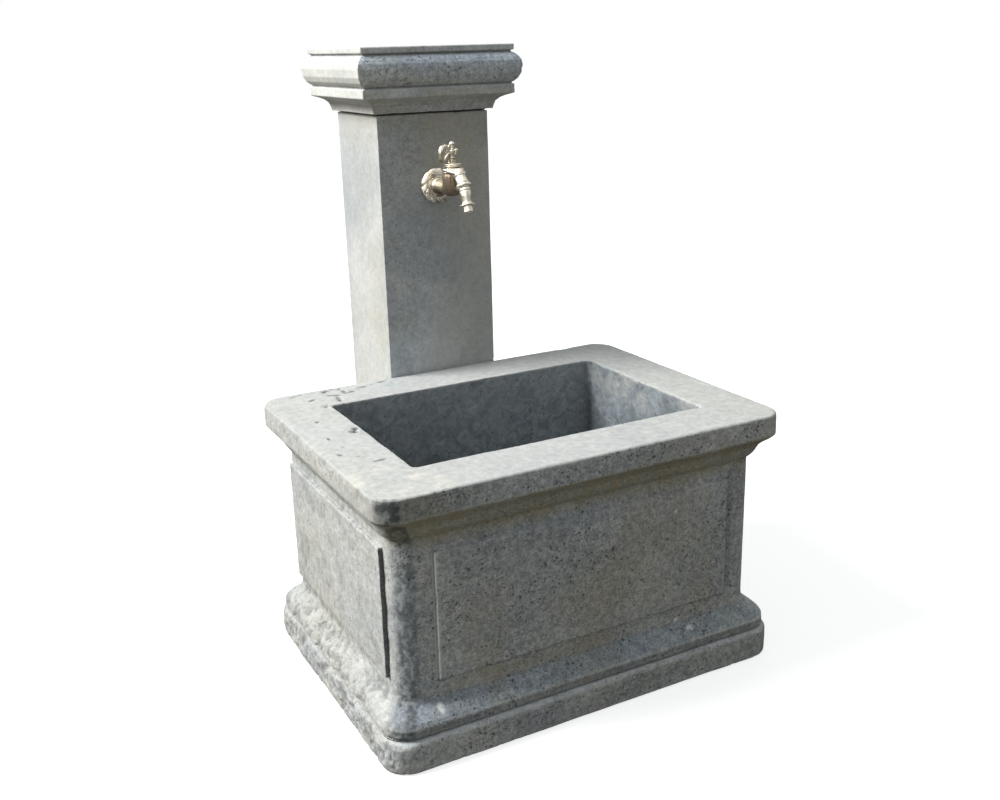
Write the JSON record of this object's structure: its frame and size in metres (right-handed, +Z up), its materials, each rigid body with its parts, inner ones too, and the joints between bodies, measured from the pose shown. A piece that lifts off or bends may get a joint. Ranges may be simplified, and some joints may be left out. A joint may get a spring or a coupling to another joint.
{
  "type": "drinking fountain",
  "caption": "Stone drinking fountain: a wide-rimmed rectangular basin on a plinth, with a square column behind it carrying a screw-down brass tap over the bowl.",
  "frame": {"origin": "centre of the overall footprint, on the ground", "axes": "+Z up, front of the basin towards -Y, column at +Y, +X to the right as seen from the front"},
  "size_m": [0.8, 0.8635, 1.1375],
  "materials": {
    "stone": "dark grey porous volcanic stone, fine-pitted, dressed by hand",
    "mortar": "dark lime mortar, matt",
    "polished_brass": "polished, pale, browned in the recesses",
    "plain_brass": "machined, unpolished",
    "copper": "drawn copper tube, dulled",
    "stainless": "satin stainless",
    "black_rubber": "matt",
    "fibre": "red fibre washer",
    "packing": "packed thread, matt white",
    "nylon": "moulded, matt",
    "grey_pvc": "extruded, matt"
  },
  "bodies": {
    "fountain": {"base_plinth": "stone", "basin": "stone", "column": "stone", "capital": "stone", "plinth_mortar_bed": "mortar", "capital_mortar_bed": "mortar", "capital_dowels": "stainless", "tie_dowels": "stainless", "rosette": "polished_brass", "tap_body": "polished_brass", "spout_ring": "polished_brass", "spout_nozzle": "polished_brass", "bonnet": "polished_brass", "gland_nut": "polished_brass", "bonnet_seal": "fibre", "gland_packing": "packing", "spout_seal": "fibre", "inlet_seal": "fibre", "inlet_nipple": "plain_brass", "wall_elbow": "plain_brass", "elbow_screws": "stainless", "wall_plugs": "nylon", "supply_pipe": "copper", "inlet_connector": "plain_brass", "compression_nuts": "plain_brass", "compression_olives": "plain_brass", "pipe_clips": "nylon", "clip_screws": "stainless", "drain_strainer": "stainless", "strainer_screw": "stainless", "drain_body": "plain_brass", "drain_gasket_upper": "black_rubber", "drain_gasket_lower": "black_rubber", "drain_locknut": "plain_brass", "waste_pipe": "grey_pvc"},
    "valve": {"jumper": "plain_brass", "valve_washer": "black_rubber", "washer_nut": "plain_brass"},
    "key": {"spindle": "plain_brass", "handle": "polished_brass", "handle_cap": "polished_brass"}
  },
  "joints": [
    {"name": "valve_lift", "type": "slide", "parent": "fountain", "child": "valve", "axis": [0, 0, 1], "range_m": [0, 0.00408]},
    {"name": "handle_turn", "type": "hinge", "parent": "valve", "child": "key", "pos_m": [0, 0.09, 0.94], "axis": [0, 0, 1], "range_deg": [0, 720]}
  ],
  "couplings": [
    {"joint": "valve_lift", "follows": "handle_turn", "m_per_rad": 0.00031831}
  ]
}
